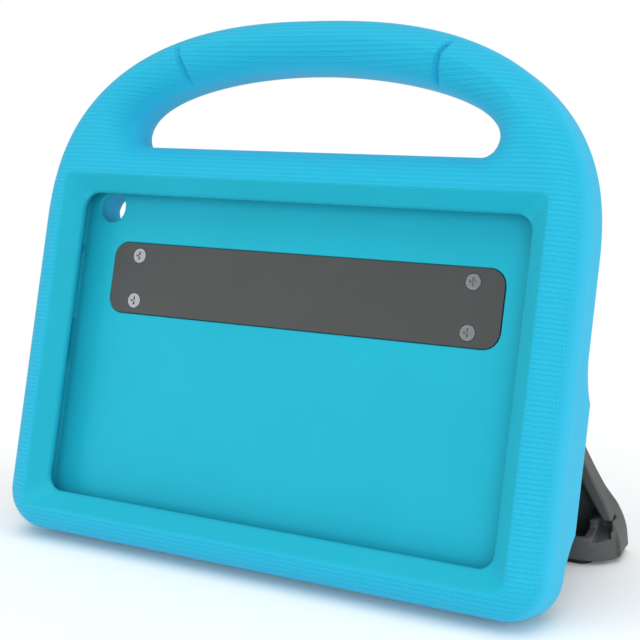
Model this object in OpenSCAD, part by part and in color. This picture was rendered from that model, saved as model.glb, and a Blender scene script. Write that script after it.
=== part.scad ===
// Soft foam tablet case with a carrying handle and a fold-out stand.
// Units are millimetres. It stands on the floor at Z = 0, front towards -Y, leaning back on its open stand.
// Case frame: X right, Y back from the plane of the window's lip, Z up from the bottom edge.
// Stand frame: X right, Y out of the stand's back, Z up, with the hinge axis at its origin.

/* [Foam body] */
// Width over the sides
body_w = 228.8; // [220:0.2:240]
// Height from the bottom edge to the top of the handle
body_h = 205.6; // [200:0.2:215]
// Thickness from the front face to the flat back
body_t = 29.2; // [24:0.2:30]
// Radius of the bottom corners
corner_r = 16; // [12:0.5:20]
// Height at which the straight sides turn into the arch
side_h = 122; // [115:1:125]
// Roundness of the arch, where 2 is an ellipse
arch_power = 2.48; // [2:0.02:3]
// Rounding of the front edges
front_r = 12.3; // [4:0.1:13]
// Rounding of the back edges
back_r = 8.3; // [4:0.1:9]
// Angle by which the case leans back
lean = 14.5; // [12:0.5:17]

/* [Band across the back] */
// How far the band stands out of the flat back
band_d = 7.4; // [4:0.2:8]
// Height of the band's lower edge
band_z0 = 27.5; // [24:0.5:32]
// Height of the band's upper edge
band_z1 = 78.5; // [70:0.5:82]
// Height of the slope at each edge of the band
band_ramp = 6; // [3:0.5:8]

/* [Window and tablet pocket] */
// Width of the window between the lips
window_w = 190; // [180:1:194]
// Height of the window between the lips
window_h = 119.8; // [110:0.2:124]
// Height of the window's centre
window_z = 76.3; // [74:0.1:80]
// Corner radius of the window
window_r = 6; // [3:0.5:10]
// How far the front face stands in front of the lip
lip_drop = 6.1; // [3:0.1:6.5]
// Width of the bevel at the window's sides
bevel_side = 6.8; // [6:0.2:10]
// Width of the bevel above and below the window
bevel_end = 6.7; // [5:0.2:8]
// Thickness of the lip at its edge
lip_t = 2; // [1.5:0.1:3]
// Width of the tablet pocket
pocket_w = 200.6; // [198:0.2:204]
// Height of the tablet pocket
pocket_h = 135.2; // [130:0.2:138]
// Depth of the tablet pocket
pocket_t = 7.8; // [6:0.2:9]
// Corner radius of the tablet pocket
pocket_r = 9; // [6:0.5:12]

/* [Hand opening] */
// Height of the opening's flat lower edge
grip_z0 = 156.3; // [154:0.1:158]
// Height of the opening's top
grip_z1 = 186.3; // [182:0.1:188]
// Width of the opening
grip_w = 153; // [140:1:160]
// Roundness of the opening's arch, where 2 is an ellipse
grip_power = 1.94; // [1.8:0.02:2.4]
// Radius of the opening's lower corners
grip_r = 6.3; // [4:0.1:9]
// Rounding where the surface rolls into the opening
grip_edge_r = 11.7; // [8:0.1:12]

/* [Cut-outs] */
// Diameter of the camera hole
camera_d = 12; // [10:0.5:16]
// Length of the charging port's cut-out
port_l = 22; // [16:1:28]
// Width of the charging port's cut-out
port_w = 7; // [6:0.5:7.5]
// Diameter of the headphone hole
jack_d = 7; // [6:0.5:7.5]

/* [Hinge] */
// Height of the hinge axis up the case
hinge_z = 104; // [102:0.5:106]
// Distance of the hinge axis behind the lip plane
hinge_y = 31.5; // [31:0.1:32]
// Radius of the knuckles
knuckle_r = 5; // [4.5:0.1:5.4]
// Diameter of the hinge pins
pin_d = 4; // [3:0.1:5]
// Radial clearance of a pin in the stand's knuckles
pin_gap = 0.05; // [0.02:0.01:0.1]
// Width of one of the stand's knuckles
knuckle_w = 20; // [14:1:24]
// Width of one of the base's ears
ear_w = 8; // [6:0.5:10]
// Distance from the middle to the middle of a knuckle
knuckle_x = 57; // [50:1:62]
// Thickness of a friction washer
washer_t = 0.8; // [0.5:0.1:1]
// Gap between moving faces
face_gap = 0.4; // [0.3:0.1:0.6]

/* [Hinge base and its fixing] */
// Width of the hinge base
base_w = 168; // [160:1:172]
// Height of the hinge base
base_h = 28; // [24:1:32]
// Thickness of the hinge base
base_t = 3; // [2.5:0.1:4]
// Thickness of the clamp plate in the pocket
clamp_t = 2; // [1.6:0.1:2.4]
// Corner radius of the base and of the clamp plate
plate_r = 6; // [3:0.5:8]
// Distance between screws across the case
screw_span_x = 144; // [136:1:148]
// Distance between screws up the case
screw_span_z = 18; // [16:1:19]
// Diameter of the base's screw bosses
boss_d = 8; // [7:0.5:9]
// Outer diameter of the brass inserts
insert_d = 4.4; // [4:0.1:5]
// Diameter of the screws
screw_d = 3; // [2.5:0.1:3]
// Diameter of the screw heads
screw_head_d = 5.8; // [5:0.1:6.4]
// Length of the screws
screw_l = 9; // [8:0.5:10]

/* [Stand] */
// Angle of the open stand from the vertical
stand_angle = 16; // [14:0.5:17]
// Half width of the stand at the hinge
stand_top_half = 91; // [88:0.5:94]
// Half width of the stand at the foot
stand_foot_half = 113; // [108:0.5:113]
// How sharply the sides flare towards the foot
stand_flare_power = 2.1; // [1.6:0.1:2.6]
// Distance from the hinge to where the flare ends
stand_flare_u = 89; // [85:1:94]
// Distance from the hinge to the stand's top edge
stand_top_u = 8; // [7:0.5:9]
// Depth from the hinge axis to the stand's back at the top
stand_top_t = 9; // [8.5:0.1:11]
// Depth from the hinge axis to the stand's back at the foot
stand_foot_t = 17.8; // [15:0.1:19]
// Depth of the side walls' front edges behind the hinge axis
rim_t = 2; // [1.5:0.1:3]
// How far the foot's lip reaches in front of the hinge axis
lip_reach = 7; // [5:0.1:7.5]
// Thickness of the stand's panel
panel_t = 2.8; // [2.4:0.1:3.4]
// Thickness of the stand's side walls at their roots
wall_t = 4; // [3:0.1:5]
// Height of the foot's front face
foot_h = 10; // [7:0.5:11]
// Thickness of the foot's front wall and of its underside
foot_wall_t = 2.4; // [2:0.1:3]
// Thickness of the pads that show under the foot
pad_t = 1.6; // [1:0.1:2]
// Length of a foot pad
pad_l = 16; // [12:1:20]
// Width of a foot pad
pad_w = 8; // [6:0.5:9]
// Distance from the middle to the middle of a pad
pad_x = 96; // [88:1:98]

/* [Hidden] */

eps = 0.01;
// Reach past a face, so that a cut goes right through it
past = 1;
// Clearances: round a seated plate, round a screw, on a press fit, in a thread, behind a seated face,
// and between a friction washer and its knuckle
plate_gap = 0.2;
screw_gap = 0.2;
press_gap = 0.03;
thread_gap = 0.02;
seat_gap = 0.05;
washer_gap = 0.2;

front_y = -lip_drop;
back_y = front_y + body_t;
middle_y = (front_y + back_y) / 2;
band_y = back_y + band_d;
pocket_back_y = lip_t + pocket_t;
pocket_middle_y = lip_t + pocket_t / 2;
base_y = back_y - base_t;
clamp_back_y = pocket_back_y + clamp_t;

// Cut-outs beside the pocket's edges
side_wall = (body_w - pocket_w) / 2;
camera_inset = 12;
camera_x = camera_inset - pocket_w / 2;
camera_z = window_z + pocket_h / 2 - camera_inset;
jack_up = 38;

// Places in the standing frame. The lowest point is on the back bottom edge's rounding.
edge_y = back_y - back_r;
edge_z = back_r;
contact_y = edge_y * cos(lean) + edge_z * sin(lean);
floor_drop = -edge_y * sin(lean) + edge_z * cos(lean) - back_r;
function stand_y(y, z) = y * cos(lean) + z * sin(lean) - contact_y;
function stand_z(y, z) = -y * sin(lean) + z * cos(lean) - floor_drop;
axis_y = stand_y(hinge_y, hinge_z);
axis_z = stand_z(hinge_y, hinge_z);

// Profile of the stand, as depths t behind the hinge axis at distances u below it
taper_u = 100;
foot_u = 104;
hollow_u = 100;
// Foot's edges: two places down the back, and what is taken off there, off the heel and off the front
foot_bend_u = 92;
foot_turn_u = 98;
turn_cut = 0.4;
heel_cut = 3;
toe_cut = 1.5;
lip_cut = 2;
lip_slope = 4;
function back_t(u) = stand_top_t
    + (stand_foot_t - stand_top_t) * (u + stand_top_u) / (taper_u + stand_top_u);
// Distance u at which the foot's flat underside passes through depth t
function under_u(t) = (axis_z - pad_t + t * sin(stand_angle)) / cos(stand_angle);
foot_back_t = back_t(foot_u);
lip_top_u = under_u(-lip_reach) - foot_h;

// Middle of the whole object from front to back
front_reach = stand_y(front_y, front_r) - front_r * (1 - cos(lean));
back_reach = axis_y + under_u(foot_back_t) * sin(stand_angle) + foot_back_t * cos(stand_angle);
centre_y = (front_reach + back_reach) / 2;

// Hinge: the ears stand on both sides of each knuckle
ear_out_x = knuckle_x + knuckle_w / 2 + washer_t + washer_gap;
ear_in_x = knuckle_x - knuckle_w / 2 - face_gap - ear_w;
pin_head_t = 1.5;
pin_x0 = ear_in_x;
pin_x1 = ear_out_x + ear_w + pin_head_t;
pin_head_d = pin_d + 3;

// The stop is a rail that the stand's top edge meets at the open angle
open_angle = lean + stand_angle;
stop_w = 60;
stop_up = 6;
stop_h = 5;
stop_gap = 0.35;
stop_y = hinge_y + rim_t * cos(open_angle) - stand_top_u * sin(open_angle) - stop_gap;

// Screws and their inserts
screw_head_t = 1.2;
slot_w = 0.7;
slot_l = 3.2;
slot_depth = 0.7;
insert_l = 6.5;
insert_up = 0.5;

// Stand
top_rim = 2.5;
top_corner_r = 8;
outline_low_u = 112;
ribs_x = [-84, -34, 0, 34, 84];
rib_w = 2;
web_h = 9;
flare_steps = 10;
flare_u = [for (i = [0:flare_steps]) stand_flare_u * i / flare_steps];

// Pads lie flat on the floor, so they are placed from the foot's front edge in the standing frame
pad_sunk = 1;
pad_inset = 1.5;
toe_y = axis_y + under_u(-lip_reach) * sin(stand_angle) - lip_reach * cos(stand_angle);
pad_y = toe_y + pad_inset + pad_w / 2;

// Facets of the foam's curves
arc_steps = 7;
arch_steps = 20;
round_steps = 5;
roll_steps = 6;

module in_case() {
    translate([0, -contact_y - centre_y, -floor_drop]) rotate([-lean, 0, 0]) children();
}

module in_stand() {
    translate([0, axis_y - centre_y, axis_z]) rotate([stand_angle, 0, 0]) children();
}

// Right half of an arch on straight sides with a rounded bottom corner
function half_arch(half_w, z0, z1, r, spring, power) = concat(
    [for (i = [0:arc_steps]) let (a = 90 * i / arc_steps)
        [half_w - r + r * sin(a), z0 + r - r * cos(a)]],
    [for (i = [0:arch_steps]) let (a = 90 * i / arch_steps)
        [half_w * pow(cos(a), 2 / power), spring + (z1 - spring) * pow(sin(a), 2 / power)]]);
function mirrored(pts) = concat(pts, [for (i = [len(pts) - 2:-1:0]) [-pts[i][0], pts[i][1]]]);
function body_ring(inset) = mirrored(half_arch(body_w / 2 - inset, inset, body_h - inset,
    max(corner_r - inset, 1), side_h, arch_power));
function grip_ring(grow) = mirrored(half_arch(grip_w / 2 + grow, grip_z0 - grow, grip_z1 + grow,
    grip_r + grow, grip_z0 + grip_r + eps, grip_power));
function rounded_rect(w, h, r) = [for (q = [0:3], i = [0:arc_steps])
    let (a = 90 * q + 90 * i / arc_steps, sx = (q == 0 || q == 3) ? 1 : -1, sz = q < 2 ? 1 : -1)
        [sx * (w / 2 - r) + r * cos(a), sz * (h / 2 - r) + r * sin(a)]];

// Skin through rings of equal length, each [y, points], listed from back to front
module loft(rings) {
    n = len(rings[0][1]);
    m = len(rings);
    pts = [for (ring = rings, p = ring[1]) [p[0], ring[0], p[1]]];
    sides = [for (j = [0:m - 2], i = [0:n - 1], k = [0:1]) let (a = j * n + i, b = j * n + (i + 1) % n)
        k == 0 ? [a, a + n, b] : [b, a + n, b + n]];
    first = [for (i = [0:n - 1]) i];
    last = [for (i = [n - 1:-1:0]) (m - 1) * n + i];
    polyhedron(points = pts, faces = concat(sides, [first], [last]), convexity = 6);
}

// The outline of the case with rounded front and back edges
module rounded_body(depth) {
    loft(concat(
        [for (i = [round_steps:-1:0]) let (a = 90 * i / round_steps)
            [front_y + depth - back_r * (1 - sin(a)), body_ring(back_r * (1 - cos(a)))]],
        [for (i = [0:round_steps]) let (a = 90 * i / round_steps)
            [front_y + front_r * (1 - sin(a)), body_ring(front_r * (1 - cos(a)))]]));
}

// An outline in X and Z, extruded from y0 to y1
module slab(y0, y1) {
    translate([0, y1, 0]) rotate([90, 0, 0]) linear_extrude(height = y1 - y0) children();
}

module along_y(y0, y1, d) {
    translate([0, y1, 0]) rotate([90, 0, 0]) cylinder(h = y1 - y0, d = d, $fn = 48);
}

module barrel(x0, x1, d) {
    translate([x0, 0, 0]) rotate([0, 90, 0]) cylinder(h = x1 - x0, d = d, $fn = 64);
}

// Outline of the hinge base, the clamp plate and their recesses
module plate_outline(grow) {
    w = base_w + 2 * grow;
    h = base_h + 2 * grow;
    r = plate_r + grow;
    square([w - 2 * r, h], center = true);
    square([w, h - 2 * r], center = true);
    for (sx = [-1, 1], sz = [-1, 1])
        translate([sx * (w / 2 - r), sz * (h / 2 - r)]) circle(r = r, $fn = 48);
}

module at_screws() {
    for (sx = [-1, 1], sz = [-1, 1])
        translate([sx * screw_span_x / 2, 0, hinge_z + sz * screw_span_z / 2]) children();
}

// Hinge axis running along X through the case frame
module at_axis() {
    translate([0, hinge_y, hinge_z]) children();
}

module both_sides() {
    for (side = [0, 1]) mirror([side, 0, 0]) children();
}

module band() {
    root_z = 3;
    intersection() {
        rounded_body(body_t + band_d);
        rotate([90, 0, 90]) translate([0, 0, -body_w]) linear_extrude(height = 2 * body_w)
            polygon([[edge_y, band_z0 - band_ramp - root_z], [back_y - past, band_z0 - band_ramp],
                [band_y, band_z0], [band_y + past, band_z0], [band_y + past, band_z1], [band_y, band_z1],
                [back_y - past, band_z1 + band_ramp], [edge_y, band_z1 + band_ramp + root_z]]);
    }
}

// The window between its lips, the bevel in front of it and the pocket behind it
module window_cut() {
    grow = 2 * (lip_drop + past) / lip_drop;
    bevel_r = window_r + 5;
    translate([0, 0, window_z]) {
        slab(-past, pocket_back_y - past) polygon(rounded_rect(window_w, window_h, window_r));
        loft([[0, rounded_rect(window_w, window_h, window_r)],
            [front_y - past,
                rounded_rect(window_w + bevel_side * grow, window_h + bevel_end * grow, bevel_r)]]);
        slab(lip_t, pocket_back_y) polygon(rounded_rect(pocket_w, pocket_h, pocket_r));
    }
}

// The hand opening, which both faces roll into
module grip_cut() {
    loft(concat(
        [[back_y + past, grip_ring(grip_edge_r + past)]],
        [for (i = [0:2 * roll_steps]) let (a = 90 - 90 * i / roll_steps)
            [middle_y + body_t / 2 * sin(a), grip_ring(grip_edge_r * (1 - cos(a)))]],
        [[front_y - past, grip_ring(grip_edge_r + past)]]));
}

// Charging port and headphone hole through the side wall
module side_cuts() {
    port_run = port_l - port_w;
    cut_l = side_wall + 2 * past;
    translate([-body_w / 2 - past, pocket_middle_y, window_z]) {
        for (dz = [-1, 1]) translate([0, 0, dz * port_run / 2]) barrel(0, cut_l, port_w);
        translate([0, -port_w / 2, -port_run / 2]) cube([cut_l, port_w, port_run]);
        translate([0, 0, jack_up]) barrel(0, cut_l, jack_d);
    }
}

module foam_body() {
    color("#45c3e4") in_case() difference() {
        union() {
            rounded_body(body_t);
            band();
        }
        window_cut();
        grip_cut();
        translate([0, 0, hinge_z]) {
            slab(base_y, back_y + past) plate_outline(plate_gap);
            slab(pocket_back_y - past, clamp_back_y) plate_outline(plate_gap);
        }
        at_screws() along_y(clamp_back_y - past, base_y + past, boss_d + 2 * plate_gap);
        translate([camera_x, 0, camera_z]) along_y(pocket_back_y - past, back_y + past, camera_d);
        side_cuts();
    }
}

module ear(x0) {
    barrel(x0, x0 + ear_w, 2 * knuckle_r);
    translate([x0, back_y - past - hinge_y, -knuckle_r])
        cube([ear_w, hinge_y - back_y + past, 2 * knuckle_r]);
}

module hinge_base() {
    color("#2f3131") in_case() difference() {
        union() {
            translate([0, 0, hinge_z]) slab(base_y, back_y) plate_outline(0);
            both_sides() at_axis() {
                ear(ear_out_x);
                ear(ear_in_x);
            }
            translate([-stop_w / 2, back_y - past, hinge_z + stop_up])
                cube([stop_w, stop_y - back_y + past, stop_h]);
            at_screws() along_y(clamp_back_y, base_y + past, boss_d);
        }
        both_sides() at_axis() barrel(pin_x0 - past, pin_x1, pin_d + 2 * press_gap);
        at_screws() along_y(clamp_back_y - past, back_y - past, insert_d);
    }
}

module clamp_plate() {
    color("#3a3c3c") in_case() difference() {
        translate([0, 0, hinge_z]) slab(pocket_back_y, clamp_back_y) plate_outline(0);
        at_screws() along_y(pocket_back_y - past, clamp_back_y + past, screw_d + 2 * screw_gap);
        at_screws()
            along_y(pocket_back_y - past, pocket_back_y + screw_head_t, screw_head_d + 2 * screw_gap);
    }
}

module plate_screws() {
    color("silver") in_case() at_screws() difference() {
        union() {
            along_y(pocket_back_y, pocket_back_y + screw_head_t - seat_gap, screw_head_d);
            along_y(pocket_back_y, pocket_back_y + screw_l, screw_d);
        }
        for (turn = [0, 90]) rotate([0, turn, 0])
            translate([-slot_l / 2, pocket_back_y - past, -slot_w / 2])
                cube([slot_l, slot_depth + past, slot_w]);
    }
}

module screw_inserts() {
    color("gold") in_case() at_screws() difference() {
        along_y(clamp_back_y + insert_up, clamp_back_y + insert_up + insert_l, insert_d - 2 * thread_gap);
        along_y(clamp_back_y, clamp_back_y + insert_l + past, screw_d + 2 * thread_gap);
    }
}

module hinge_pin() {
    color("silver") in_case() at_axis() {
        barrel(pin_x0, pin_x1, pin_d);
        barrel(pin_x1 - pin_head_t + seat_gap, pin_x1, pin_head_d);
    }
}
module hinge_pin_left() { mirror([1, 0, 0]) hinge_pin(); }
module hinge_pin_right() { hinge_pin(); }

module friction_washer() {
    color("#c9b37a") in_case() at_axis() difference() {
        barrel(ear_out_x - washer_t, ear_out_x - seat_gap, 2 * knuckle_r - 1);
        barrel(ear_out_x - washer_t - past, ear_out_x + past, pin_d + 2 * screw_gap);
    }
}
module friction_washer_left() { mirror([1, 0, 0]) friction_washer(); }
module friction_washer_right() { friction_washer(); }

// Half width of the stand at distance u below the hinge
function stand_half(u) = min(stand_foot_half, stand_top_half + (stand_foot_half - stand_top_half)
    * pow(max(u, 0) / stand_flare_u, stand_flare_power));

// Front view outline of the stand, moved in by one amount at the sides and another at the top
function stand_outline(inset, top_inset) = mirrored(concat(
    [[stand_foot_half - inset, -outline_low_u]],
    [for (i = [flare_steps:-1:0]) [stand_half(flare_u[i]) - inset, -flare_u[i]]],
    [for (i = [0:arc_steps]) let (a = 90 * i / arc_steps)
        [stand_top_half - top_corner_r + (top_corner_r - inset) * cos(a),
            stand_top_u - top_corner_r + (top_corner_r - top_inset) * sin(a)]]));

// A side view outline of [t, u] points, extruded across the stand
module side_prism(pts) {
    translate([-body_w, 0, 0]) rotate([90, 0, 90]) linear_extrude(height = 2 * body_w)
        polygon([for (p = pts) [p[0], -p[1]]]);
}

module stand_block() {
    high_u = -stand_top_u - past;
    heel_t = foot_back_t - heel_cut;
    intersection() {
        slab(-20, 40) polygon(stand_outline(0, 0));
        side_prism([[rim_t, high_u], [back_t(high_u), high_u], [back_t(foot_bend_u), foot_bend_u],
            [back_t(foot_turn_u) - turn_cut, foot_turn_u], [heel_t, under_u(heel_t)],
            [toe_cut - lip_reach, under_u(toe_cut - lip_reach)], [-lip_reach, under_u(-lip_reach) - toe_cut],
            [-lip_reach, lip_top_u + lip_cut], [lip_cut - lip_reach, lip_top_u],
            [rim_t, lip_top_u - lip_slope]]);
    }
}

// The hollow side faces the case, and runs down behind the foot's front wall
module stand_hollow() {
    trough_t = foot_wall_t - lip_reach;
    low_u = top_rim - stand_top_u;
    intersection() {
        slab(-20, 40) polygon(stand_outline(wall_t, top_rim));
        side_prism([[-20, low_u], [back_t(low_u) - panel_t, low_u], [back_t(hollow_u) - panel_t, hollow_u],
            [trough_t, under_u(trough_t) - foot_wall_t], [trough_t, lip_top_u - past],
            [-20, lip_top_u - past]]);
    }
}

// Web that carries a knuckle on the panel
module knuckle_web() {
    depth = back_t(0) - panel_t + past;
    translate([knuckle_x - knuckle_w / 2, 0, -web_h]) cube([knuckle_w, depth, web_h]);
    translate([knuckle_x - knuckle_w / 2, 0, -eps]) cube([knuckle_w, depth, knuckle_r - past]);
}

module stand_leg() {
    color("#333535") in_stand() difference() {
        union() {
            difference() {
                stand_block();
                stand_hollow();
            }
            intersection() {
                stand_block();
                for (x = ribs_x) translate([x - rib_w / 2, rim_t, -lip_top_u - 6])
                    cube([rib_w, 2 * stand_foot_t, lip_top_u]);
            }
            both_sides() {
                barrel(knuckle_x - knuckle_w / 2, knuckle_x + knuckle_w / 2, 2 * knuckle_r);
                knuckle_web();
            }
        }
        both_sides() barrel(knuckle_x - knuckle_w, knuckle_x + knuckle_w, pin_d + 2 * pin_gap);
        for (side = [-1, 1]) translate([side * pad_x, 0, 0]) pad_shape(pad_t + pad_sunk, plate_gap);
    }
}

// A pad with round ends, standing on the floor
module pad_shape(height, grow) {
    run = pad_l - pad_w;
    rotate([-stand_angle, 0, 0]) translate([0, pad_y - axis_y, -axis_z]) {
        for (side = [-1, 1]) translate([side * run / 2, 0, 0])
            cylinder(h = height, d = pad_w + 2 * grow, $fn = 48);
        translate([-run / 2, -pad_w / 2 - grow, 0]) cube([run, pad_w + 2 * grow, height]);
    }
}

module foot_pad(side) {
    color("#1d1e1e") in_stand() translate([side * pad_x, 0, 0]) pad_shape(pad_t + pad_sunk - seat_gap, 0);
}
module foot_pad_left() { foot_pad(-1); }
module foot_pad_right() { foot_pad(1); }

foam_body();
hinge_base();
clamp_plate();
plate_screws();
screw_inserts();
hinge_pin_left();
hinge_pin_right();
friction_washer_left();
friction_washer_right();
stand_leg();
foot_pad_left();
foot_pad_right();
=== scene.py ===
"""Looks of a foam tablet case on its open stand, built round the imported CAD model.

Lengths in the shape functions are millimetres. The foam body is made in the case frame (X right, Y back from
the lip plane, Z up from the bottom edge), and the stand in its own frame with the hinge axis at its origin.
"""

import math

import bpy
import numpy as np
from mathutils import Matrix, Vector


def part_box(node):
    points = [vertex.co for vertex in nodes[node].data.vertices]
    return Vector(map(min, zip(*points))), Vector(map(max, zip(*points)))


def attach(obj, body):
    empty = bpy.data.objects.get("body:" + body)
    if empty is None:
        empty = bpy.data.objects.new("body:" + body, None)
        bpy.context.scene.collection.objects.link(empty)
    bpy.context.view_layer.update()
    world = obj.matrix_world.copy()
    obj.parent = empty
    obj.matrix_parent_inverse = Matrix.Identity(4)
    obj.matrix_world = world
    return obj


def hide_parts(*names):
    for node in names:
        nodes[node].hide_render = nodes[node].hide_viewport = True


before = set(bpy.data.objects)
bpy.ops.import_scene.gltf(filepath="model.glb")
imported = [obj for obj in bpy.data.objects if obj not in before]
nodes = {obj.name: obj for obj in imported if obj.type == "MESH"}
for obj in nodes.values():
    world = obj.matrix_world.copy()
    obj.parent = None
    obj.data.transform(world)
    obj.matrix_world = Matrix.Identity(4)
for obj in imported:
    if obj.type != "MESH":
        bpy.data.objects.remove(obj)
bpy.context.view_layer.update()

MM = 0.001
FAR = 100.0  # a depth that no surface reaches

# Foam body
BODY_W, BODY_H, BODY_T = 228.8, 205.6, 29.2
CORNER_R, SIDE_H, ARCH_POWER, FRONT_R, BACK_R = 16.0, 122.0, 2.48, 12.3, 8.3
LIP_DROP, LIP_T = 6.1, 2.0
FRONT_Y = -LIP_DROP
BACK_Y = FRONT_Y + BODY_T
MID_Y = (FRONT_Y + BACK_Y) / 2
LEAN = math.radians(14.5)

# Band across the back: its slopes start a little inside the back
BAND_D, BAND_Z0, BAND_Z1, BAND_RAMP, BAND_SUNK = 7.4, 27.5, 78.5, 6.0, 1.0
BAND_R, BAND_FOOT_R = 2.5, 3.0

# Window, bevel and tablet pocket
WINDOW_W, WINDOW_H, WINDOW_Z, WINDOW_R = 190.0, 119.8, 76.3, 6.0
WINDOW_EDGE_R, WINDOW_OVER = 0.7, 2.0
BEVEL_SIDE, BEVEL_END, BEVEL_BLEND, MITRE_TOP, MITRE_BOTTOM = 6.8, 6.7, 0.5, 2.6, 4.0
POCKET_W, POCKET_H, POCKET_T, POCKET_R, POCKET_FLOOR_R = 200.6, 135.2, 7.8, 9.0, 1.0

# Hand opening
GRIP_Z0, GRIP_Z1, GRIP_W, GRIP_R = 156.3, 186.3, 155.0, 6.3
GRIP_POWER, GRIP_FRONT_R, GRIP_BACK_R, ROLL_OVER = 1.94, 14.4, 11.7, 2.0

# Grooves at the ends of the grip, as a curve from low on the handle's front
GROOVE_X, GROOVE_Z0, GROOVE_L, GROOVE_TILT, GROOVE_BEND = 52.9, 181.0, 14.0, 0.07, 0.02
GROOVE_D, GROOVE_HALF, GROOVE_BEFORE, GROOVE_AFTER, GROOVE_FADE = 2.2, 0.9, 1.0, 2.0, 4.0

# Cut-outs in the foam
CAMERA_D, PORT_L, PORT_W, JACK_D, JACK_UP = 12.0, 22.0, 7.0, 7.0, 38.0
PLATE_W, PLATE_H, PLATE_R, BASE_T, CLAMP_T = 168.4, 28.4, 6.2, 3.0, 2.0
SCREW_X, SCREW_Z, BOSS_D, BOSS_REACH = 72.0, 9.0, 8.4, 20.0
CAMERA_IN, CAMERA_OVER, PORT_OVER, CUT_R = 12.0, 1.0, 2.0, 0.6
HINGE_Y, HINGE_Z = 31.5, 104.0

# Stand, with u down from the hinge along the leg and t back from the hinge axis
STAND_ANGLE = math.radians(16.0)
TOP_HALF, FOOT_HALF, FLARE_POWER, FLARE_U, FLARE_BLEND = 91.0, 113.5, 2.1, 88.0, 4.0
TOP_U, TOP_T, FOOT_T, FOOT_T_U, RIM_T = 8.0, 9.0, 17.8, 100.0, 2.0
TOP_CORNER_R, UNDER_R, BACK_EDGE_R, LIP_TOP_R, RIM_R, EDGE_R = 8.0, 2.5, 3.0, 1.5, 1.0, 0.8
LIP_REACH, PANEL_T, FOOT_H, FOOT_WALL, PAD_T = 7.0, 2.8, 10.0, 2.4, 1.6
KNUCKLE_X, KNUCKLE_W, KNUCKLE_R, KNUCKLE_EDGE_R, PIN_HOLE_R = 57.0, 20.0, 5.0, 0.5, 2.05
WEB_U, WEB_HALF_U, WEB_T, WEB_HALF_T = 2.5, 6.5, 4.0, 4.0
RIB_X, RIB_HALF, RIB_TOP_U, RIB_SUNK = (0.0, 34.0, 84.0), 1.0, 6.0, 1.0
DRAFT, DRAFT_MID, DRAFT_END, DRAFT_FADE, DRAFT_LEAST = 0.27, 9.0, 14.0, 12.0, 0.45
WALL_RIM, WALL_SLOPE, WALL_TOP, TRAY_R = 2.8, 0.75, 2.5, 1.0
TOE_X, TOE_R, TOE_LEFT, TROUGH_SIDE, TROUGH_TOP = 99.5, 14.0, 0.5, 3.0, 3.0
NOTCH_X, NOTCH_HALF, NOTCH_U, NOTCH_END, NOTCH_BACK_T, NOTCH_R = 108.4, 2.6, 83.5, 89.5, 8.0, 0.5

# Grid of the meshes: its pitch, its margin round each solid and its lowest height in the stand frame
FOAM_PITCH = 0.8
STAND_PITCH = 0.7
GRID_MARGIN, STAND_LOW = 3.0, -110.0


# ---- Distance functions ----

def round_max(a, b, r):
    """Intersection of two solids, with the edge between them rounded to radius r."""
    return np.minimum(-r, np.maximum(a, b)) + np.hypot(np.maximum(a + r, 0), np.maximum(b + r, 0))


def round_min(a, b, r):
    """Union of two solids, with the corner between them filled to radius r."""
    return -round_max(-a, -b, r)


def soft_max(a, b, k):
    """Larger of two values, blended where they differ by less than k."""
    share = np.maximum(k - np.abs(a - b), 0) / k
    return np.maximum(a, b) + share * share * k / 4


def box_distance(x, z, half_x, half_z, r):
    """Distance to a rectangle with round corners, negative inside."""
    a, b = np.abs(x) - half_x + r, np.abs(z) - half_z + r
    return np.minimum(np.maximum(a, b), 0) + np.hypot(np.maximum(a, 0), np.maximum(b, 0)) - r


class Outline:
    """Distance to a closed outline, negative inside, read from a smooth table."""

    MARGIN, PITCH = 22.0, 1.0

    def __init__(self, points):
        points = np.array(points)
        self.low = points.min(0) - self.MARGIN
        size = ((points.max(0) + self.MARGIN - self.low) / self.PITCH).astype(int) + 1
        x, z = np.meshgrid(*(l + self.PITCH * np.arange(n) for l, n in zip(self.low, size)), indexing="ij")
        nearest, inside = np.full(x.shape, 1e9), np.zeros(x.shape, bool)
        for (ax, az), (bx, bz) in zip(points, np.roll(points, -1, 0)):
            dx, dz = bx - ax, bz - az
            along = np.clip(((x - ax) * dx + (z - az) * dz) / max(dx * dx + dz * dz, 1e-12), 0, 1)
            nearest = np.minimum(nearest, np.hypot(x - ax - along * dx, z - az - along * dz))
            if abs(dz) > 1e-12:
                inside ^= ((az > z) != (bz > z)) & (x < dx * (z - az) / dz + ax)
        self.table = np.where(inside, -nearest, nearest)

    def __call__(self, x, z):
        """Cubic B-spline reading of the table at broadcast x and z."""
        x, z = np.broadcast_arrays(x, z)
        cell, weight = [], []
        for value, low, size in zip((x, z), self.low, self.table.shape):
            place = np.clip((value - low) / self.PITCH, 1, size - 2.001)
            whole = place.astype(int)
            f = place - whole
            cell.append(whole)
            weight.append(((1 - f) ** 3 / 6, (3 * f**3 - 6 * f**2 + 4) / 6,
                           (-3 * f**3 + 3 * f**2 + 3 * f + 1) / 6, f**3 / 6))
        total = 0
        for i in range(4):
            for j in range(4):
                total = total + weight[0][i] * weight[1][j] * self.table[cell[0] + i - 1, cell[1] + j - 1]
        return total


def arch_outline(half_w, z0, z1, r, spring, power, steps=48):
    """A flat-bottomed outline with round lower corners and a superellipse arch."""
    turn = np.linspace(0, math.pi / 2, steps)
    corner = np.stack([half_w - r + r * np.sin(turn), z0 + r - r * np.cos(turn)], 1)
    arch = np.stack([half_w * np.cos(turn) ** (2 / power),
                     spring + (z1 - spring) * np.sin(turn) ** (2 / power)], 1)
    right = np.concatenate([corner, arch])
    return np.concatenate([right, right[-2::-1] * (-1, 1)])


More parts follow.
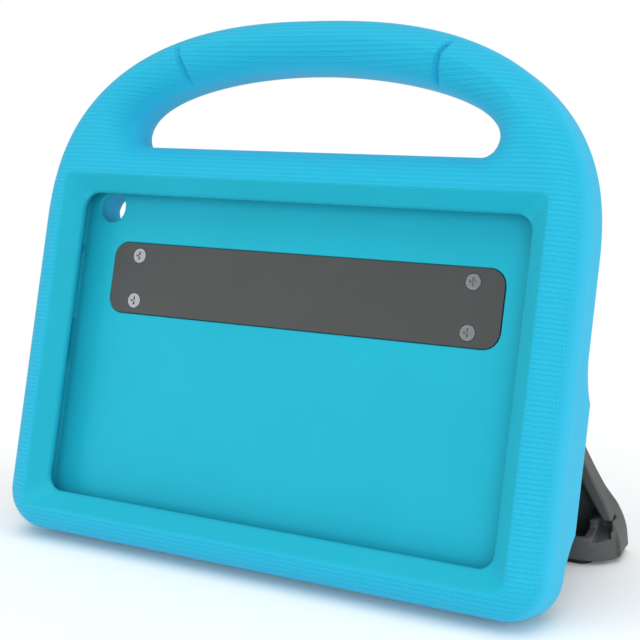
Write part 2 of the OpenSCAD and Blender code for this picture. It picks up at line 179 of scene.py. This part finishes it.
body_outline = Outline(arch_outline(BODY_W / 2, 0, BODY_H, CORNER_R, SIDE_H, ARCH_POWER))
grip_outline = Outline(arch_outline(GRIP_W / 2, GRIP_Z0, GRIP_Z1, GRIP_R, GRIP_Z0 + GRIP_R, GRIP_POWER))


def back_distance(y, z):
    """The flat back with the raised band on it, which has a sloped upper and lower edge."""
    top_y, rise = BACK_Y + BAND_D, BAND_D + BAND_SUNK
    length = math.hypot(rise, BAND_RAMP)
    lower = ((BAND_Z0 - z) * rise + (y - top_y) * BAND_RAMP) / length
    upper = ((z - BAND_Z1) * rise + (y - top_y) * BAND_RAMP) / length
    band = round_max(round_max(y - top_y, lower, BAND_R), upper, BAND_R)
    return round_min(y - BACK_Y, band, BAND_FOOT_R)


def bevel_distance(x, y, z):
    """The space in front of the window's four bevels, with softer mitres at the bottom."""
    side_slope, end_slope = LIP_DROP / BEVEL_SIDE, LIP_DROP / BEVEL_END
    side = (y + (np.abs(x) - WINDOW_W / 2) * side_slope) / math.hypot(1, side_slope)
    end = (y + (np.abs(z - WINDOW_Z) - WINDOW_H / 2) * end_slope) / math.hypot(1, end_slope)
    mitre = np.where(z > WINDOW_Z, MITRE_TOP, MITRE_BOTTOM)
    return np.maximum(soft_max(side, end, mitre), y)


def groove_depth(x, y, z):
    """Two curved grooves across the front of the handle."""
    up = z - GROOVE_Z0
    line = GROOVE_X + GROOVE_TILT * up + GROOVE_BEND * up**2
    start = np.clip((up + GROOVE_BEFORE) / GROOVE_FADE, 0, 1)
    end = np.clip((GROOVE_L + GROOVE_AFTER - up) / GROOVE_FADE, 0, 1)
    across = np.exp(-(((np.abs(x) - line) / GROOVE_HALF) ** 2))
    return GROOVE_D * across * (start * end) * (y < MID_Y)


def foam_distance(x, y, z):
    """The foam body in the case frame."""
    outline, grip = body_outline(x, z), grip_outline(x, z)
    body = np.where(y < MID_Y, round_max(outline, FRONT_Y - y, FRONT_R),
                    round_max(outline, back_distance(y, z), BACK_R))
    roll_r = np.where(y < MID_Y, GRIP_FRONT_R, GRIP_BACK_R)
    rolled = round_max(-grip, np.abs(y - MID_Y) - BODY_T / 2, roll_r)
    body = np.maximum(body, np.where(grip < GRIP_FRONT_R + ROLL_OVER, rolled, -FAR))
    body = body + groove_depth(x, y, z)
    body = soft_max(body, -bevel_distance(x, y, z), BEVEL_BLEND)
    window = box_distance(x, z - WINDOW_Z, WINDOW_W / 2, WINDOW_H / 2, WINDOW_R)
    body = round_max(body, -np.maximum(window, np.abs(y) - LIP_T - WINDOW_OVER), WINDOW_EDGE_R)
    pocket = box_distance(x, z - WINDOW_Z, POCKET_W / 2, POCKET_H / 2, POCKET_R)
    pocket = round_max(pocket, np.abs(y - LIP_T - POCKET_T / 2) - POCKET_T / 2, POCKET_FLOOR_R)
    body = round_max(body, -pocket, CUT_R)
    for cut in foam_cuts(x, y, z):
        body = round_max(body, -cut, CUT_R)
    return body


def foam_cuts(x, y, z):
    """Recesses for the two plates, holes for the bosses, and the camera, port and headphone holes."""
    pocket_back = LIP_T + POCKET_T
    plate = box_distance(x, z - HINGE_Z, PLATE_W / 2, PLATE_H / 2, PLATE_R)
    boss = np.hypot(np.abs(x) - SCREW_X, np.abs(z - HINGE_Z) - SCREW_Z) - BOSS_D / 2
    camera = np.hypot(x + POCKET_W / 2 - CAMERA_IN, z - WINDOW_Z - POCKET_H / 2 + CAMERA_IN) - CAMERA_D / 2
    deep = y - LIP_T - POCKET_T / 2
    port = box_distance(z - WINDOW_Z, deep, PORT_L / 2, PORT_W / 2, PORT_W / 2)
    jack = np.hypot(z - WINDOW_Z - JACK_UP, deep) - JACK_D / 2
    return [
        np.maximum(plate, np.abs(y - BACK_Y) - BASE_T),
        np.maximum(plate, np.abs(y - pocket_back) - CLAMP_T),
        np.maximum(boss, MID_Y - BOSS_REACH - y + pocket_back),
        np.maximum(camera, pocket_back - CAMERA_OVER - y),
        np.maximum(np.minimum(port, jack), x + POCKET_W / 2 - PORT_OVER),
    ]


def stand_half(u):
    """Half width of the stand at distance u below the hinge."""
    flare = np.clip(u / FLARE_U, 0, None) ** FLARE_POWER
    return -soft_max(-FOOT_HALF, -TOP_HALF - (FOOT_HALF - TOP_HALF) * flare, FLARE_BLEND)


# The hinge axis in the row frame, and how far the foot's underside lies below it
pin_low, pin_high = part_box("hinge_pin_left")
AXIS_Y, AXIS_Z = ((low + high) / 2 / MM for low, high in zip(pin_low[1:], pin_high[1:]))
UNDER = AXIS_Z - PAD_T


def under_u(t):
    """Distance below the hinge at which the foot's underside passes through depth t."""
    return (UNDER + t * math.sin(STAND_ANGLE)) / math.cos(STAND_ANGLE)


LIP_TOP_U = under_u(-LIP_REACH) - FOOT_H


def stand_shell(x, t, u, back_t):
    """The stand's outside: a tray with drafted sides, on a foot whose front curves back at its ends."""
    steepness = np.sqrt(1 + ((stand_half(u + 1) - stand_half(u - 1)) / 2) ** 2)
    wide = np.abs(x) - stand_half(u)
    fade = np.clip((FLARE_U - u) / DRAFT_FADE, DRAFT_LEAST, 1)
    draft = DRAFT * (np.clip(t, RIM_T, DRAFT_END) - DRAFT_MID) * fade
    under = u * math.cos(STAND_ANGLE) - t * math.sin(STAND_ANGLE) - UNDER
    side = (wide + draft) / steepness
    plan = round_max(round_max(side, -TOP_U - u, TOP_CORNER_R), under, UNDER_R)
    along = np.clip(np.abs(x) - TOE_X, 0, TOE_R - TOE_LEFT)
    toe_t = TOE_R - LIP_REACH - np.sqrt(TOE_R**2 - along**2)
    lip = round_max(toe_t - t, LIP_TOP_U - u, LIP_TOP_R)
    front = round_min(RIM_T - t, lip, RIM_R)
    shell = round_max(round_max(plan, t - back_t, BACK_EDGE_R), front, RIM_R)
    return shell, wide, under, steepness, toe_t


def stand_hollow(x, t, u, back_t, wide, under, steepness, toe_t):
    """The tray's inside with the trough behind the foot's front, and the notches at the foot's ends."""
    panel = t - back_t + PANEL_T
    sloped = (wide + WALL_RIM + WALL_SLOPE * (t - RIM_T)) / np.sqrt(steepness**2 + WALL_SLOPE**2)
    trough = np.maximum(toe_t + FOOT_WALL - t, np.abs(x) - TOE_X - TROUGH_SIDE)
    trough = np.maximum(under + FOOT_WALL, np.where(u > LIP_TOP_U - TROUGH_TOP, trough, -FAR))
    hollow = np.maximum(round_max(round_max(sloped, panel, TRAY_R), trough, EDGE_R), WALL_TOP - TOP_U - u)
    notch = np.maximum(np.abs(np.abs(x) - NOTCH_X) - NOTCH_HALF,
                       np.abs(u - (NOTCH_U + NOTCH_END) / 2) - (NOTCH_END - NOTCH_U) / 2)
    return np.minimum(hollow, round_max(notch, t - NOTCH_BACK_T, NOTCH_R))


def stand_distance(x, t, w):
    """The stand in its own frame: right, back and up from the hinge axis."""
    u = -w
    back_t = TOP_T + (FOOT_T - TOP_T) * (u + TOP_U) / (FOOT_T_U + TOP_U)
    block, wide, under, steepness, toe_t = stand_shell(x, t, u, back_t)
    block = round_max(block, -stand_hollow(x, t, u, back_t, wide, under, steepness, toe_t), EDGE_R)
    ribs = np.min([np.abs(np.abs(x) - place) - RIB_HALF for place in RIB_X], axis=0)
    rib_ends = np.maximum(RIB_TOP_U - u, under + RIB_SUNK)
    rib_faces = np.maximum(RIM_T + RIB_SUNK - t, t - back_t + RIB_SUNK)
    block = round_min(block, np.maximum(ribs, np.maximum(rib_ends, rib_faces)), EDGE_R)
    turn = np.hypot(t, w)
    web = np.maximum(np.abs(u - WEB_U) - WEB_HALF_U, np.abs(t - WEB_T) - WEB_HALF_T)
    aside = np.abs(np.abs(x) - KNUCKLE_X)
    knuckle = round_max(aside - KNUCKLE_W / 2, np.minimum(turn - KNUCKLE_R, web), KNUCKLE_EDGE_R)
    block = np.minimum(block, knuckle)
    return np.maximum(block, -np.maximum(turn - PIN_HOLE_R, aside - KNUCKLE_W))


# ---- Meshing ----

def slope_of(distance, points, step=0.05):
    """Gradient of a distance function at points."""
    steps = np.eye(3) * step
    return np.stack([(distance(*(points + s).T) - distance(*(points - s).T)) / (2 * step) for s in steps], 1)


def settled(distance, points, reach, passes=4):
    """Points moved onto the surface."""
    for _ in range(passes):
        slope = slope_of(distance, points)
        size = np.maximum((slope**2).sum(1), 0.2)
        move = -(distance(*points.T) / size)[:, None] * slope
        length = np.maximum(np.linalg.norm(move, axis=1), 1e-9)
        points = points + move * np.minimum(1, reach / length)[:, None]
    return points


def relaxed(points, quads):
    """Points moved towards the middle of their neighbours."""
    near, far = quads.ravel(), np.roll(quads, 1, 1).ravel()
    ends, others = np.concatenate([near, far]), np.concatenate([far, near])
    count = np.bincount(ends, minlength=len(points))
    mean = np.stack([np.bincount(ends, points[others, i], len(points)) for i in range(3)], 1) / count[:, None]
    return (points + mean) / 2


def surface_net(distance, low, high, pitch):
    """Quads round a solid, with one point in each grid cell that its surface crosses."""
    axes = [np.arange(a, b + pitch, pitch) for a, b in zip(low, high)]
    value = distance(*np.meshgrid(*axes, indexing="ij", sparse=True))
    inside = value < 0
    corners = [np.array(c) for c in np.ndindex(2, 2, 2)]
    shape = np.array(value.shape) - 1
    part = [inside[c[0]:c[0] + shape[0], c[1]:c[1] + shape[1], c[2]:c[2] + shape[2]] for c in corners]
    count = np.sum(part, axis=0)
    crossed = (count > 0) & (count < 8)
    cells = np.argwhere(crossed)
    index = np.full(crossed.shape, -1)
    index[crossed] = np.arange(len(cells))
    total, hits = np.zeros((len(cells), 3)), np.zeros(len(cells))
    for axis in range(3):
        for corner in (c for c in corners if c[axis] == 0):
            other = corner + np.eye(3, dtype=int)[axis]
            a, b = value[tuple((cells + corner).T)], value[tuple((cells + other).T)]
            hit = (a < 0) != (b < 0)
            share = np.where(hit, a / np.where(hit, a - b, 1), 0)
            total += hit[:, None] * (corner + share[:, None] * np.eye(3)[axis])
            hits += hit
    points = (cells + total / hits[:, None]) * pitch + low
    quads = []
    for axis in range(3):
        flips = np.diff(inside.astype(np.int8), axis=axis)
        edges = np.argwhere(flips != 0)
        outward = flips[tuple(edges.T)] < 0
        b, c = np.eye(3, dtype=int)[(axis + 1) % 3], np.eye(3, dtype=int)[(axis + 2) % 3]
        quad = np.stack([index[tuple((edges - shift).T)] for shift in (b + c, c, 0 * b, b)], 1)
        quads.append(np.where(outward[:, None], quad, quad[:, ::-1]))
    return points, np.concatenate(quads)


def solid_piece(name, distance, low, high, pitch, place):
    """A mesh object round a distance function in millimetres, put in place by a matrix."""
    points, quads = surface_net(distance, low, high, pitch)
    for _ in range(2):
        points = settled(distance, relaxed(points, quads), pitch)
    slope = slope_of(distance, points)
    mesh = bpy.data.meshes.new(name)
    mesh.from_pydata((points * MM).tolist(), [], quads.tolist())
    mesh.shade_smooth()
    mesh.normals_split_custom_set_from_vertices((slope / np.linalg.norm(slope, axis=1)[:, None]).tolist())
    piece = bpy.data.objects.new(name, mesh)
    bpy.context.scene.collection.objects.link(piece)
    piece.matrix_world = place
    return piece


# ---- Places ----

def case_matrix():
    """Case frame to the row frame, in metres."""
    axis = Vector((0, HINGE_Y, HINGE_Z)) * MM
    turn = Matrix.Rotation(-LEAN, 4, "X")
    return Matrix.Translation(Vector((0, AXIS_Y, AXIS_Z)) * MM) @ turn @ Matrix.Translation(-axis)


def stand_matrix():
    """Stand frame to the row frame, in metres."""
    return Matrix.Translation(Vector((0, AXIS_Y, AXIS_Z)) * MM) @ Matrix.Rotation(STAND_ANGLE, 4, "X")


# ---- Materials ----

class Shader:
    """A material with a Principled BSDF, and short calls for its nodes."""

    def __init__(self, name, **settings):
        self.material = bpy.data.materials.new(name)
        self.material.use_nodes = True
        self.tree = self.material.node_tree
        self.surface = self.tree.nodes["Principled BSDF"]
        for socket, value in settings.items():
            self.surface.inputs[socket.replace("_", " ")].default_value = value

    def node(self, kind, inputs=(), **settings):
        made = self.tree.nodes.new(kind)
        for key, value in settings.items():
            setattr(made, key, value)
        for key, value in dict(inputs).items():
            self.put(made.inputs[key], value)
        return made

    def put(self, socket, value):
        if isinstance(value, bpy.types.NodeSocket):
            self.tree.links.new(value, socket)
        else:
            socket.default_value = value

    def math(self, operation, a, b=0.0, c=0.0):
        return self.node("ShaderNodeMath", {0: a, 1: b, 2: c}, operation=operation).outputs[0]

    def noise(self, place, per_mm, detail=3.0):
        inputs = {"Vector": place, "Scale": per_mm / MM, "Detail": detail}
        return self.node("ShaderNodeTexNoise", inputs).outputs["Fac"]

    def blend(self, share, low, high):
        ramp = self.node("ShaderNodeMix", {0: share, 6: low, 7: high}, data_type="RGBA")
        return ramp.outputs[2]

    def step(self, value, low, high):
        inputs = {"Value": value, "From Min": low, "From Max": high}
        return self.node("ShaderNodeMapRange", inputs, interpolation_type="SMOOTHSTEP").outputs["Result"]

    def bump(self, height, depth):
        bump = self.node("ShaderNodeBump", {"Height": height, "Distance": depth * MM, "Strength": 1.0})
        self.put(self.surface.inputs["Normal"], bump.outputs["Normal"])

    def object_place(self):
        return self.node("ShaderNodeTexCoord").outputs

    def wave(self, value, pitch):
        """A wave from 0 to 1 along a coordinate in metres, with its pitch in millimetres."""
        turned = self.math("MULTIPLY", value, 2 * math.pi / (pitch * MM))
        return self.math("MULTIPLY_ADD", self.math("SINE", turned), 0.5, 0.5)


def srgb(code):
    """Linear colour from a hex code."""
    parts = [int(code[i:i + 2], 16) / 255 for i in (0, 2, 4)]
    return (*[p / 12.92 if p < 0.04045 else ((p + 0.055) / 1.055) ** 2.4 for p in parts], 1.0)


# The last share sets how strongly the weave's painted highlight and shade show in the foam's colour.
WEAVE_PITCH, RIB_PITCH, WEAVE_DEPTH, RIB_SHARE, GRAIN_SHARE, WEAVE_PAINTED_LIGHT_SHARE = 0.8, 1.7, 0.12, 0.5, 0.12, 0.66
FOAM_GRAIN, FOAM_CLOUD = 1.6, 0.03
BEVEL_R, BEVEL_STEP = 3.5, (-0.1 * MM, 0.4 * MM)
FRONT_STEP = (0.25, 0.75)
PLASTIC_GRAIN, PLASTIC_CLOUD, PLASTIC_DEPTH, PLASTIC_SPREAD = 1.8, 0.05, 0.05, 0.12
METAL_SCRATCH, METAL_DEPTH, METAL_SPREAD = 3.0, 0.01, 0.2


def foam_material():
    """Moulded foam: a fine weave on the front and the handle, smooth on the bevel and the sides; its colour
    has painted shade on the bevel, painted light on the sides, and painted highlight and shade on the weave.
    """
    s = Shader("blue_foam", Roughness=0.6, Specular_IOR_Level=0.2, Sheen_Weight=0.05, Sheen_Roughness=0.5)
    place = s.object_place()
    split = s.node("ShaderNodeSeparateXYZ", {0: place["Object"]}).outputs
    facing = s.node("ShaderNodeSeparateXYZ", {0: place["Normal"]}).outputs
    beside = s.math("SUBTRACT", s.math("ABSOLUTE", split["X"]), (WINDOW_W / 2 + BEVEL_SIDE - BEVEL_R) * MM)
    rise = s.math("ABSOLUTE", s.math("SUBTRACT", split["Z"], WINDOW_Z * MM))
    above = s.math("SUBTRACT", rise, (WINDOW_H / 2 + BEVEL_END - BEVEL_R) * MM)
    past = {0: s.math("MAXIMUM", beside, 0.0), 1: s.math("MAXIMUM", above, 0.0)}
    corner = s.node("ShaderNodeCombineXYZ", past)
    reach = s.node("ShaderNodeVectorMath", {0: corner.outputs[0]}, operation="LENGTH").outputs["Value"]
    behind = s.math("SUBTRACT", split["Y"], (LIP_T + POCKET_T + CLAMP_T + 1) * MM)
    outside = s.math("MAXIMUM", s.math("SUBTRACT", reach, BEVEL_R * MM), behind)
    off_bevel = s.step(outside, *BEVEL_STEP)
    front = s.step(s.math("MULTIPLY", facing["Y"], -1.0), *FRONT_STEP)
    mask = s.math("MULTIPLY", off_bevel, front)
    dots = s.math("MULTIPLY", s.wave(split["X"], WEAVE_PITCH), s.wave(split["Z"], WEAVE_PITCH))
    ribs = s.wave(split["Z"], RIB_PITCH)
    weave = s.math("MULTIPLY", s.math("MULTIPLY_ADD", ribs, RIB_SHARE, dots), mask)
    grain = s.noise(place["Object"], FOAM_GRAIN)
    cloud = s.noise(place["Object"], FOAM_CLOUD)
    s.bump(s.math("MULTIPLY_ADD", grain, GRAIN_SHARE, weave), WEAVE_DEPTH)
    # Painted shade: the bevel gets a darker blue than the sides and the front, standing in for the shade on
    # the inward-sloping bevel.
    bevel_painted_shade = s.blend(cloud, srgb("0ea2b9"), srgb("14abc3"))
    # Painted light: the smooth sides get a lighter blue than the bevel, standing in for the light falling on
    # them.
    side = s.blend(cloud, srgb("24b0d6"), srgb("28b5db"))
    # Painted highlight and shade: the weave's colour is lighter at its peaks and darker in its valleys.
    weave_painted_highlight_and_shade = s.blend(s.math("MULTIPLY", weave, WEAVE_PAINTED_LIGHT_SHARE), srgb("0ca0c2"), srgb("26bcde"))
    s.put(s.surface.inputs["Base Color"], s.blend(off_bevel, bevel_painted_shade, s.blend(mask, side, weave_painted_highlight_and_shade)))
    return s.material


def plastic_material(name, dark, light, roughness):
    """Moulded plastic with a fine spark-eroded grain."""
    s = Shader(name, Roughness=roughness, Specular_IOR_Level=0.4)
    place = s.object_place()["Object"]
    grain = s.noise(place, PLASTIC_GRAIN, 4.0)
    s.bump(grain, PLASTIC_DEPTH)
    tone = s.blend(s.noise(place, PLASTIC_CLOUD), srgb(dark), srgb(light))
    s.put(s.surface.inputs["Base Color"], s.blend(grain, tone, srgb(light)))
    rough = s.math("MULTIPLY_ADD", grain, PLASTIC_SPREAD, roughness - PLASTIC_SPREAD / 2)
    s.put(s.surface.inputs["Roughness"], rough)
    return s.material


def metal_material(name, dark, light, roughness):
    """Turned metal with fine scratches."""
    s = Shader(name, Metallic=1.0, Roughness=roughness)
    place = s.object_place()["Object"]
    stretch = s.node("ShaderNodeMapping", {"Vector": place, "Scale": (0.1, 1, 1)}).outputs["Vector"]
    scratch = s.noise(stretch, METAL_SCRATCH, 4.0)
    s.bump(scratch, METAL_DEPTH)
    s.put(s.surface.inputs["Base Color"], s.blend(scratch, srgb(dark), srgb(light)))
    rough = s.math("MULTIPLY_ADD", scratch, METAL_SPREAD, roughness - METAL_SPREAD / 2)
    s.put(s.surface.inputs["Roughness"], rough)
    return s.material


def floor_material():
    return Shader("floor", Roughness=0.9, Base_Color=(FLOOR_GREY, FLOOR_GREY, FLOOR_GREY, 1)).material


# ---- Scene ----

CAMERA_AT = Vector((0.25799, -0.45197, 0.18196))
CAMERA_YAW, CAMERA_PITCH, CAMERA_LENS = math.radians(29.34), math.radians(-10.10), 77.32
SENSOR_W, CLIP_NEAR, CLIP_FAR = 36.0, 0.01, 50.0
FLOOR_HALF, FLOOR_GREY = 12.0, 0.98
WORLD_LIGHT = 0.44

# Soft suns: the direction each one lights from, its strength and its spread in degrees
SUNS = {
    "left_soft": ((-1.0, -1.0, 0.15), 0.8, 30),
    "right_soft": ((1.6, 0.3, 0.4), 0.65, 30),
    "top_soft": ((0.1, -0.2, 1.0), 1.5, 60),
    "front_soft": ((0.48, -0.86, 0.2), 1.25, 40),
}


def add_camera():
    data = bpy.data.cameras.new("camera")
    data.lens, data.sensor_width = CAMERA_LENS, SENSOR_W
    data.clip_start, data.clip_end = CLIP_NEAR, CLIP_FAR
    camera = bpy.data.objects.new("camera", data)
    bpy.context.scene.collection.objects.link(camera)
    camera.location = CAMERA_AT
    camera.rotation_euler = (math.pi / 2 + CAMERA_PITCH, 0, CAMERA_YAW)
    bpy.context.scene.camera = camera


def add_sun(name, towards, strength, spread):
    """A soft sun whose light travels the opposite way to the given direction."""
    data = bpy.data.lights.new(name, "SUN")
    data.energy, data.angle = strength, math.radians(spread)
    sun = bpy.data.objects.new(name, data)
    bpy.context.scene.collection.objects.link(sun)
    sun.rotation_euler = Vector(towards).to_track_quat("Z", "Y").to_euler()


def add_floor():
    mesh = bpy.data.meshes.new("floor")
    corners = [(x * FLOOR_HALF, y * FLOOR_HALF, 0) for x, y in ((-1, -1), (1, -1), (1, 1), (-1, 1))]
    mesh.from_pydata(corners, [], [(0, 1, 2, 3)])
    mesh.materials.append(floor_material())
    floor = bpy.data.objects.new("floor", mesh)
    bpy.context.scene.collection.objects.link(floor)


def add_world():
    """White where the camera sees it, and a softer grey as light."""
    world = bpy.data.worlds.new("studio")
    world.use_nodes = True
    tree = world.node_tree
    seen = tree.nodes.new("ShaderNodeLightPath").outputs["Is Camera Ray"]
    strength = tree.nodes.new("ShaderNodeMapRange")
    strength.inputs["To Min"].default_value = WORLD_LIGHT
    tree.links.new(seen, strength.inputs["Value"])
    background = tree.nodes["Background"]
    background.inputs["Color"].default_value = (1, 1, 1, 1)
    tree.links.new(strength.outputs["Result"], background.inputs["Strength"])
    bpy.context.scene.world = world
    bpy.context.scene.view_settings.view_transform = "Standard"


add_camera()
add_world()
add_floor()
for sun_name, (towards, strength, spread) in SUNS.items():
    add_sun(sun_name, towards, strength, spread)

foam_low = (-BODY_W / 2 - GRID_MARGIN, FRONT_Y - GRID_MARGIN, -GRID_MARGIN)
foam_high = (BODY_W / 2 + GRID_MARGIN, BACK_Y + BAND_D + GRID_MARGIN, BODY_H + GRID_MARGIN)
foam = solid_piece("moulded_foam_body", foam_distance, foam_low, foam_high, FOAM_PITCH, case_matrix())
foam.data.materials.append(foam_material())
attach(foam, "case")
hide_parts("foam_body")

leg_low = (-FOOT_HALF - GRID_MARGIN, -LIP_REACH - GRID_MARGIN, STAND_LOW)
leg_high = (FOOT_HALF + GRID_MARGIN, FOOT_T + GRID_MARGIN + 1, TOP_U + GRID_MARGIN)
leg = solid_piece("moulded_stand_leg", stand_distance, leg_low, leg_high, STAND_PITCH, stand_matrix())
leg.data.materials.append(plastic_material("black_plastic", "454646", "4e4f4f", 0.55))
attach(leg, "stand")
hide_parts("stand_leg")

# Looks of the CAD pieces, by the start of their names: material, darker and lighter colour, roughness
NODE_LOOKS = {
    "hinge_base": ("dark_plastic", "2c2e2e", "383a3a", 0.5, plastic_material),
    "clamp_plate": ("clamp_plastic", "343636", "404242", 0.5, plastic_material),
    "plate_screws": ("steel", "6f7274", "9a9da0", 0.38, metal_material),
    "screw_inserts": ("brass", "a8843c", "d8b566", 0.35, metal_material),
    "hinge_pin": ("pin_steel", "6f7274", "9a9da0", 0.36, metal_material),
    "friction_washer": ("washer_brass", "a8843c", "d8b566", 0.4, metal_material),
    "foot_pad": ("black_rubber", "161717", "212222", 0.8, plastic_material),
}
for look, (name, dark, light, roughness, maker) in NODE_LOOKS.items():
    material = maker(name, dark, light, roughness)
    for node_name, node in nodes.items():
        if node_name.startswith(look):
            node.data.materials.clear()
            node.data.materials.append(material)

SOFT_EDGE, SOFT_ANGLE = 0.35, math.radians(50)
for node_name in ("hinge_base", "clamp_plate"):
    softened = nodes[node_name].modifiers.new("softened_edges", "BEVEL")
    softened.width, softened.segments, softened.limit_method = SOFT_EDGE * MM, 2, "ANGLE"
    softened.angle_limit = SOFT_ANGLE
